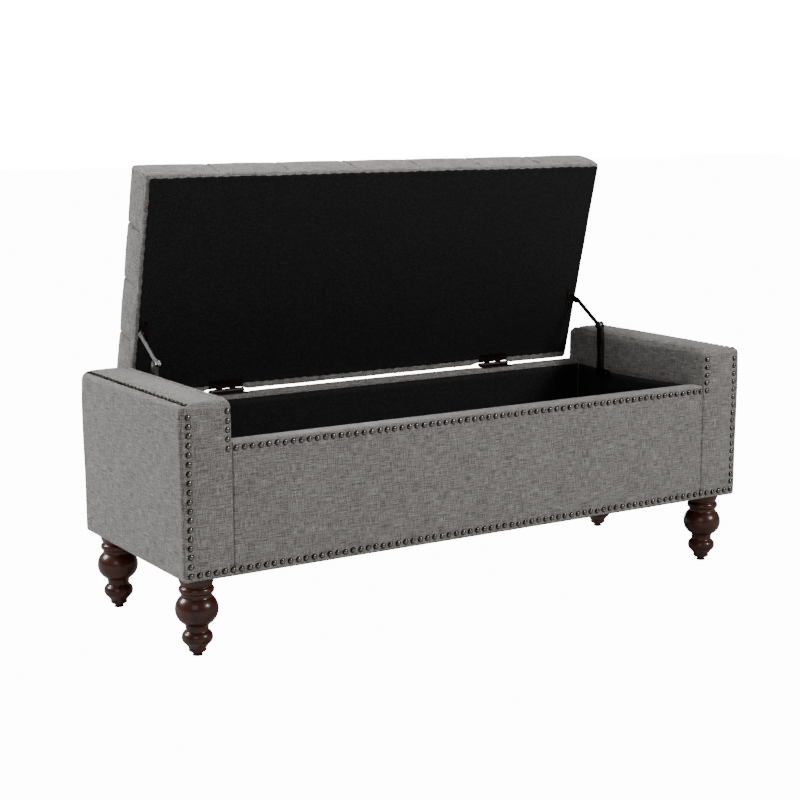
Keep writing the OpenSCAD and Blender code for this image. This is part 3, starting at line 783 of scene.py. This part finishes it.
def make_arm_cover(side):
    """One arm: crowned top between the nail row and the inner seam, square below the rail."""
    name = "left" if side < 0 else "right"
    low, high = ARM_LOW.copy(), ARM_HIGH.copy()
    nails = nail_places(f"nails_{name}_arm_top")
    nails[:, 0] = np.abs(nails[:, 0])
    seam_x, nail_x = low[0] + SEAM_INSET, nails[0, 0]
    xs = grid_lines(low[0], high[0], 5 * MM, 10 * MM, 4, [seam_x])
    ys = grid_lines(low[1], high[1], 4.1 * MM, 14 * MM, 6)
    zs = grid_lines(low[2], high[2], 6 * MM, 14 * MM, 6)
    points, faces, uvs = box_skin(xs, ys, zs)
    flat = points.copy()
    x, y, z = flat.T
    points, normal = rounded(points, low, high, arm_radii(flat, low, high))
    top = smooth_step(normal[:, 2], 0.45, 0.95)
    points[:, 2] += top * pad_relief(flat, nails, seam_x, nail_x, low, high)

    fronts = FRONT_NAILS[FRONT_NAILS[:, 0] * side > 0] * np.array([side, 1, 1])
    points -= normal * nail_dent(points, fronts)[:, None]
    column_x = fronts[:, 0].max()
    facing = smooth_step(-normal[:, 1], 0.5, 0.95)
    below_top = 1 - smooth_step(z, high[2] - 0.03, high[2] - 0.012)
    points[:, 1] += 1.8 * MM * bell(x - (column_x + 6 * MM), 2.4 * MM) * facing * below_top
    corner = bell(np.hypot(x - high[0], y - low[1]), 16 * MM)
    points += normal * (1.6 * MM * corner * (1 - top))[:, None]

    lift = smooth_step(z, low[2], high[2])
    outer = smooth_step(normal[:, 0], 0.5, 0.98)
    behind = smooth_step(normal[:, 1], 0.5, 0.98)
    inside = smooth_step(-normal[:, 0], 0.7, 0.98)
    panel = np.sin(math.pi * share(y, low[1], high[1])) ** 0.6
    sway = 0.9 * MM * ripple(y, z, 0.14, 3 + side)
    points[:, 0] += outer * (FLARE * lift + 1.5 * MM * panel + sway)
    points[:, 1] += behind * (4 * MM + 1.4 * FLARE * lift)
    front_panel = share(x, low[0], column_x)
    above_row = smooth_step(z, low[2] + 22 * MM, low[2] + 60 * MM)
    points[:, 1] -= 3.2 * MM * facing * np.sin(math.pi * front_panel) * below_top * above_row
    above = smooth_step(z, RAIL_TOP, RAIL_TOP + 0.02)
    crumple = 0.6 * MM * ripple(y, z, 0.07, 11 + side) - 0.4 * MM
    points[:, 0] += inside * above * crumple
    in_box = plateau(y, FRONT_HIGH[1], FRONT_HIGH[1] + 5 * MM,
                     REAR_LOW[1] - 5 * MM, REAR_LOW[1])
    lined = 1 - smooth_step(z, BOX_HIGH[2] - 4 * MM, BOX_HIGH[2] + 5 * MM)
    points[:, 0] += 2.6 * MM * inside * in_box * lined
    if side < 0:
        points[:, 0] *= -1
        faces = [face[::-1] for face in faces]
        uvs = np.array(uvs).reshape(-1, 4, 2)[:, ::-1].reshape(-1, 2)
    piece = make_object(f"{name}_arm_upholstery", points, faces, uvs, "linen")
    held = np.maximum.reduce([
        1 - above, 1 - top, near_nails(flat, nails, 9 * MM), bell(x - nail_x, 10 * MM),
        bell(x - seam_x, 5 * MM)])
    puff(piece, np.clip(held, 0, 1), 2.0, 12, 3 * MM)
    subdivide(piece)
    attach(piece, "base")
    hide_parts(f"{name}_arm_cover", f"{name}_arm_pad")


# ---------------------------------------------------------------- linings


def make_sheet(xs, ys, height):
    """A grid sheet over (x, y); height gives z for each point."""
    gx, gy = np.meshgrid(xs, ys, indexing="ij")
    points = np.stack([gx.ravel(), gy.ravel(), height(gx, gy).ravel()], axis=1)
    columns = len(ys)
    corners = [i * columns + j for i in range(len(xs) - 1) for j in range(columns - 1)]
    return points, [(v, v + columns, v + columns + 1, v + 1) for v in corners]


def solidify(piece, thickness):
    """Gives a sheet its thickness, on the side that its faces turn away from."""
    modifier = piece.modifiers.new("thickness", "SOLIDIFY")
    modifier.thickness, modifier.offset = thickness, -1


def make_box_lining():
    """The black bag of the storage box: four stretched walls and a floor, open at the top."""
    half = ARM_IN + 1.0 * MM
    y0, y1 = FRONT_HIGH[1] + 0.8 * MM, REAR_LOW[1] - 0.8 * MM
    z0, top = BOX_LOW[2] + 1.5 * MM, BOX_HIGH[2]
    points, faces, _ = box_skin(np.linspace(-half, half, 75), np.linspace(y0, y1, 27),
                                np.linspace(z0, top, 16))
    faces = [f[::-1] for f in faces if min(points[v][2] for v in f) < top - TOUCH]
    used = sorted({v for f in faces for v in f})
    renumber = {old: new for new, old in enumerate(used)}
    points = points[used]
    faces = [[renumber[v] for v in f] for f in faces]
    x, y, z = points.T.copy()
    up = smooth_step(z, z0, top)
    on_side = np.abs(np.abs(x) - half) < TOUCH
    t = (y - y0) / (y1 - y0)
    sag = 6 * MM * np.sin(math.pi * np.clip(t, 0, 1) ** 1.4) - 1 * MM
    points[:, 2] -= np.where(on_side, sag, 0) * up
    middle = np.minimum(t, 1 - t) * 2
    slack = 0.4 * MM * ripple(x + y, z, 0.11, 21)
    points[:, 0] -= np.sign(x) * np.where(on_side, np.abs(slack) * middle, 0)
    on_wall = (np.abs(y - y0) < TOUCH) | (np.abs(y - y1) < TOUCH)
    inward = np.where(y < BODY_MID_Y, 1, -1)
    points[:, 1] += np.where(on_wall, inward * np.abs(slack) * (1 - (x / half) ** 2), 0)
    floor = np.abs(z - z0) < TOUCH
    points[:, 2] += np.where(floor, np.abs(ripple(x, y, 0.2, 5)) * 2 * MM, 0)
    piece = make_object("box_lining_cloth", points, faces, None, "black_lining")
    solidify(piece, 0.5 * MM)
    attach(piece, "base")
    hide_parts("box_lining")


def scallops(along):
    """The wave that the staples give a hem, from 0 to 1, a little uneven."""
    wander = ripple(along, along * 0, 0.05, 33)
    return 0.5 + 0.5 * np.cos(2 * math.pi * along / STAPLE_PITCH + 1.5 * wander)


def make_lid_lining():
    """Black sheet under the lid, its hem turned in and stapled, so that its edge is scalloped."""
    xs = grid_lines(-LID_HALF + LINING_WRAP, LID_HALF - LINING_WRAP, 4.6 * MM, 12 * MM, 7)
    ys = grid_lines(LID_FRONT + LINING_WRAP, LID_REAR - REAR_WRAP, 4.6 * MM, 12 * MM, 7)
    x_reach, y0, y1 = xs[-1], ys[0], ys[-1]

    def height(gx, gy):
        """The lid's underside, less the hem, its scallops and the slack middle."""
        from_x, from_y = x_reach - np.abs(gx), np.minimum(gy - y0, y1 - gy)
        edge = np.minimum(from_x, from_y)
        scallop = scallops(np.where(from_x < from_y, gy, gx))
        hem = bell(edge - 4.5 * MM, 3.0 * MM) * (0.4 + 0.6 * scallop) * MM
        slack = np.abs(ripple(gx, gy, 0.16, 8)) * 0.6 * MM * smooth_step(edge, 0.04, 0.1)
        return LID_UNDER - 0.1 * MM - hem - slack

    points, faces = make_sheet(xs, ys, height)
    for axis, other, low, high in ((0, 1, -x_reach, x_reach), (1, 0, y0, y1)):
        along = points[:, other].copy()
        reach = 1.5 * MM * scallops(along) + 1.1 * MM * ripple(along, along * 0, 0.09, 31 + axis)
        near_low = bell(points[:, axis] - low, 5 * MM)
        near_high = bell(points[:, axis] - high, 5 * MM)
        points[:, axis] += reach * (near_high - near_low)
    faces = [f[::-1] for f in faces]
    piece = make_object("lid_lining_cloth", to_open_lid(points), faces, None, "black_lining")
    solidify(piece, 0.3 * MM)
    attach(piece, "lid")
    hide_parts("lid_lining")


def make_dust_cover():
    """Thin black cloth under the body, a little smaller than its CAD sheet."""
    low, high = span("dust_cover")
    inset = 2 * MM
    xs = grid_lines(low[0] + inset, high[0] - inset, 12 * MM)
    ys = grid_lines(low[1] + inset, high[1] - inset, 12 * MM)

    def height(gx, gy):
        """Just under the CAD sheet, with a slight sag."""
        return low[2] - 0.4 * MM - np.abs(ripple(gx, gy, 0.15, 9)) * 0.4 * MM

    points, faces = make_sheet(xs, ys, height)
    piece = make_object("dust_cover_cloth", points, [f[::-1] for f in faces], None, "black_lining")
    solidify(piece, 0.4 * MM)
    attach(piece, "base")
    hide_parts("dust_cover")


# ---------------------------------------------------------------- tufted lid


def tuft_places():
    """The buttons' (x, y) on the closed lid: offset rows at the quarters of its depth."""
    places = []
    for row in (1, 2, 3):
        count = TUFT_COLUMNS if row == 2 else TUFT_COLUMNS - 1
        for i in range(count):
            places.append(((i - (count - 1) / 2) * TUFT_PITCH_X, LID_FRONT + row * TUFT_PITCH_Y))
    return places


def tuft_folds():
    """Fold lines of the tufting: diagonals, pleats to the edges and mitres to the corners."""
    places = tuft_places()
    middle = (LID_FRONT + LID_REAR) / 2
    outer_rows = [p for p in places if abs(p[1] - middle) > TUFT_PITCH_Y / 2]
    middle_row = [p for p in places if p not in outer_rows]
    ends = [p for p in places if abs(p[0]) > LID_HALF - 1.1 * TUFT_PITCH_X]

    def side_edge(p):
        """The x of the nearest end of the lid."""
        return math.copysign(LID_HALF, p[0])

    def long_edge(p):
        """The y of the nearest long edge of the lid."""
        return LID_FRONT if p[1] < middle else LID_REAR

    reach = math.hypot(TUFT_PITCH_X / 2, TUFT_PITCH_Y) * 1.05
    folds = [(p, q) for p in outer_rows for q in middle_row if math.dist(p, q) < reach]
    folds += [(p, (p[0], long_edge(p))) for p in outer_rows]
    folds += [(p, (side_edge(p), p[1])) for p in ends]
    folds += [(p, (side_edge(p), long_edge(p))) for p in ends if p in outer_rows]
    return folds


MITRE_INSET = 9 * MM


def make_lid_cushion():
    """The lid's padding and cover: tufted on top, pleated and swelling on its four edges."""
    low, high = LID_LOW.copy(), LID_HIGH.copy()
    pleat_x = sorted({p[0] for p in tuft_places() if abs(p[1] - LID_FRONT - TUFT_PITCH_Y) < MM})
    pleat_y = [LID_FRONT + row * TUFT_PITCH_Y for row in (1, 2, 3)]
    xs = grid_lines(low[0], high[0], 6 * MM, 14 * MM, 5, pleat_x)
    ys = grid_lines(low[1], high[1], 6 * MM, 14 * MM, 5, pleat_y)
    zs = grid_lines(low[2], high[2], 6 * MM, 9 * MM, 4)
    points, faces, uvs = box_skin(xs, ys, zs)
    flat = points.copy()
    upper = smooth_step(flat[:, 2], low[2] + 0.02, high[2] - 0.01)
    radii = np.full(points.shape, 5 * MM)
    radii[:, 2] = 8 * MM + 5 * MM * upper
    points, normal = rounded(points, low, high, radii)
    on_top = smooth_step(normal[:, 2], 0.05, 0.85)

    x, y = points[:, 0].copy(), points[:, 1].copy()
    fold = np.min([distance_to_line(x, y, line) for line in tuft_folds()], axis=0)
    button = np.min([np.hypot(x - px, y - py) for px, py in tuft_places()], axis=0)
    to_edge = np.minimum.reduce([LID_HALF - np.abs(flat[:, 0]), flat[:, 1] - LID_FRONT,
                                 LID_REAR - flat[:, 1]])
    pillow_radius = 36 * MM
    pillow = np.sqrt(np.clip(1 - (1 - np.clip(fold / pillow_radius, 0, 1)) ** 2, 0, 1))
    depth = 8 * MM + 10 * MM * np.exp(-button / (26 * MM))
    depth *= smooth_step(to_edge, -25 * MM, 45 * MM)
    sink = depth * (1 - pillow) + 12 * MM * bell(button, 13 * MM)
    points[:, 2] += on_top * (6 * MM * smooth_step(to_edge, 5 * MM, 55 * MM) - sink)

    side_x = smooth_step(np.abs(normal[:, 1]), 0.3, 0.9)
    side_y = smooth_step(np.abs(normal[:, 0]), 0.3, 0.9)
    up = share(flat[:, 2], low[2], high[2])
    mitre_x = (MITRE_INSET - LID_HALF, LID_HALF - MITRE_INSET)
    mitre_y = (LID_FRONT + MITRE_INSET, LID_REAR - MITRE_INSET)
    at_mitre = 0.6 * plateau(up, 0.05, 0.2, 0.7, 0.9)
    crease, swell = np.zeros(len(points)), np.zeros(len(points))
    for place, side, pleats, mitres, pitch in ((x, side_x, pleat_x, mitre_x, TUFT_PITCH_X),
                                               (y, side_y, pleat_y, mitre_y, TUFT_PITCH_Y)):
        to_pleat = np.min([np.abs(place - p) for p in pleats], axis=0)
        to_mitre = np.min([np.abs(place - p) for p in mitres], axis=0)
        pleated, mitred = bell(to_pleat, 1.5 * MM), at_mitre * bell(to_mitre, 1.8 * MM)
        crease = np.maximum(crease, np.maximum(pleated, mitred) * side)
        swell += np.sqrt(share(to_pleat, 0, pitch / 2)) * side
    crease *= smooth_step(up, 0.1, 0.3) * (1 - 0.6 * smooth_step(up, 0.85, 1))
    swell = (3 * MM + 2.6 * MM * swell) * np.sin(math.pi * up ** 0.85) ** 0.7
    lapped = np.max([bell(x - p - 3 * MM, 2.2 * MM) for p in pleat_x], axis=0) * side_x
    points += normal * (swell + 1.2 * MM * lapped - 8 * MM * crease)[:, None]
    rearwards = smooth_step(flat[:, 1], LID_REAR - 0.03, LID_REAR)
    points[:, 1] += REAR_SAG * rearwards * away_from_hinges(x)
    sway = ripple(x + flat[:, 2], y, 0.09, 14) * 0.8 * MM * np.sin(math.pi * up)
    points += normal * sway[:, None]

    piece = make_object("lid_cushion", points, faces, uvs, "linen")
    held = np.maximum.reduce([
        bell(fold, 6 * MM) * on_top, bell(button, 15 * MM) * on_top,
        1 - smooth_step(flat[:, 2], low[2] + 6 * MM, low[2] + 26 * MM), crease])
    puff(piece, np.clip(held, 0, 1), 3.0, 14, 6 * MM)
    settled = clear_of_knuckles(read_points(piece.data))
    piece.data.vertices.foreach_set("co", to_open_lid(settled).ravel())
    piece.data.update()
    subdivide(piece)
    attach(piece, "lid")
    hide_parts("lid_cover", "lid_foam")


def away_from_hinges(x):
    """0 along the hinges, 1 elsewhere."""
    return np.min([smooth_step(np.abs(x - centre), width / 2 + 3 * MM, width / 2 + 16 * MM)
                   for centre, width in HINGE_SPANS], axis=0)


def clear_of_knuckles(points):
    """The closed lid's points, pushed out of a small tunnel around the hinge pin."""
    dy, dz = points[:, 1] - PIN[1], points[:, 2] - PIN[2]
    reach = np.hypot(dy, dz)
    room = KNUCKLE_ROOM * (1 - 0.7 * away_from_hinges(points[:, 0]))
    scale = np.maximum(1, room / np.maximum(reach, 1e-6))
    out = points.copy()
    out[:, 1], out[:, 2] = PIN[1] + dy * scale, PIN[2] + dz * scale
    return out


def lathe(profile, segments):
    """A turned solid from (radius, height) pairs, closed at both ends on its axis."""
    angles = np.linspace(0, 2 * math.pi, segments, endpoint=False)
    rings = [[(r * math.cos(a), r * math.sin(a), z) for a in angles] for r, z in profile]
    points = [p for ring in rings for p in ring]
    faces = []
    for k in range(len(rings) - 1):
        for i in range(segments):
            j, below = (i + 1) % segments, k * segments
            above = below + segments
            faces.append((below + i, below + j, above + j, above + i))
    faces.append(tuple(range(segments))[::-1])
    faces.append(tuple(range((len(rings) - 1) * segments, len(rings) * segments)))
    return np.array(points), faces


def joined(parts):
    """Several (points, faces) as one."""
    points, faces, offset = [], [], 0
    for part_points, part_faces in parts:
        points.append(part_points)
        faces += [tuple(v + offset for v in face) for face in part_faces]
        offset += len(part_points)
    return np.vstack(points), faces


def make_lid_buttons():
    """Covered buttons at the bottom of the tufts: a domed, fabric-wrapped cap."""
    radius, rise = 10.5 * MM, 5 * MM
    angles = np.linspace(-0.9, math.pi / 2 * 0.96, 12)
    profile = [(radius * math.cos(t), rise * math.sin(t)) for t in angles]
    cap, cap_faces = lathe(profile, 28)
    parts = [(cap + np.array([x, y, LID_TOP - 20 * MM]), cap_faces) for x, y in tuft_places()]
    points, faces = joined(parts)
    uvs = [points[v][:2] for face in faces for v in face]
    piece = make_object("lid_tuft_buttons", to_open_lid(points), faces, uvs, "linen")
    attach(piece, "lid")
    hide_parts("lid_buttons")


# ---------------------------------------------------------------- nails, legs, hardware


def nail_head():
    """Domed head with a rolled rim, standing up Z from its seat."""
    rise = 3.1 * MM
    dome = [(NAIL_RADIUS * math.cos(t), 0.5 * MM + rise * math.sin(t))
            for t in np.linspace(0, 1.5, 9)]
    return lathe([(NAIL_RADIUS * 0.93, -1.2 * MM), (NAIL_RADIUS, 0)] + dome, 24)


NAIL_LEAN = 7               # degrees, at most


def make_nail_row(row, facing, sunk):
    """A row of heads; each leans by its own few degrees, as hand-set nails do."""
    head, head_faces = nail_head()
    # Each point's height on the head, carried in the UV, sets the painted shade at the rim.
    rim_shade_heights = [(head[v][2] / head[:, 2].max(), 0) for face in head_faces for v in face]
    seat = np.array(Vector((0, 0, 1)).rotation_difference(Vector(facing)).to_matrix())
    parts = []
    for place in nail_places(row):
        hinge = Vector((math.cos(place[0] * 900), math.sin(place[0] * 900 + place[2] * 700), 0))
        lean = np.array(Matrix.Rotation(math.radians(rng.uniform(0, NAIL_LEAN)), 3, hinge))
        spot = place - np.array(facing) * (sunk + rng.uniform(0, 0.3) * MM)
        spot = spot + rng.normal(0, 0.35 * MM, 3) * (1 - np.abs(np.array(facing)))
        parts.append((head @ (seat @ lean).T + spot, head_faces))
    points, faces = joined(parts)
    uvs = rim_shade_heights * (len(faces) // len(head_faces))
    piece = make_object(row.replace("nails_", "nail_trim_"), points, faces, uvs, "nailhead")
    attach(piece, "base")
    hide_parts(row)


def arc(centre, radius, start, end, count):
    """Profile points on a circle; the angles are degrees up from the outward radius."""
    turns = [math.radians(a) for a in np.linspace(start, end, count)]
    return [(centre[0] + radius * math.cos(t), centre[1] + radius * math.sin(t)) for t in turns]


def leg_profile():
    """The turned leg, from the glide up: foot bead, vase, big ball, ring and flared cap."""
    points = [(10, 7.2), (13.5, 7.2), (15.6, 8.6), (16.6, 11), (16.2, 13.2), (15.6, 14.4)]
    points += [(17.6, 16.6), (19.8, 19.4)]
    points += arc((14.6, 34.4), 14, -60, 62, 14)
    points += [(20.9, 48.4), (20.8, 51.4), (21.3, 55.4)]
    points += arc((8.6, 87), 31, -64, 50, 26)
    points += [(28.4, 112.4), (27.8, 114.6), (28.2, 115.6)]
    points += arc((24.6, 123.6), 7.8, -66, 70, 12)
    points += [(28.6, 132), (29.4, 133.6), (30.8, 138), (32.6, 143), (33.3, 147),
               (33.3, 150.6), (29.5, 151)]
    return [(r * MM, z * MM) for r, z in points]


def make_leg(node):
    """One leg, turned to the photo's outline."""
    low, high = span(node)
    points, faces = lathe(leg_profile(), 72)
    centre = np.array([(low[0] + high[0]) / 2, (low[1] + high[1]) / 2, 0])
    piece = make_object(f"{node}_turned", points + centre, faces, None, "espresso_wood")
    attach(piece, "base")
    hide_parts(node)


make_camera()
make_studio()
finish_frame_nodes()
make_front_cover()
make_rear_cover()
for arm_side in (-1, 1):
    make_arm_cover(arm_side)
make_box_lining()
make_lid_lining()
make_dust_cover()
make_lid_cushion()
make_lid_buttons()
for nail_row in FRONT_NAIL_ROWS:
    make_nail_row(nail_row, (0, -1, 0), 2.6 * MM)
for nail_row in ("nails_left_arm_top", "nails_right_arm_top"):
    make_nail_row(nail_row, (0, 0, 1), 3.8 * MM)
for leg in ("front_left_leg", "front_right_leg", "rear_left_leg", "rear_right_leg"):
    make_leg(leg)
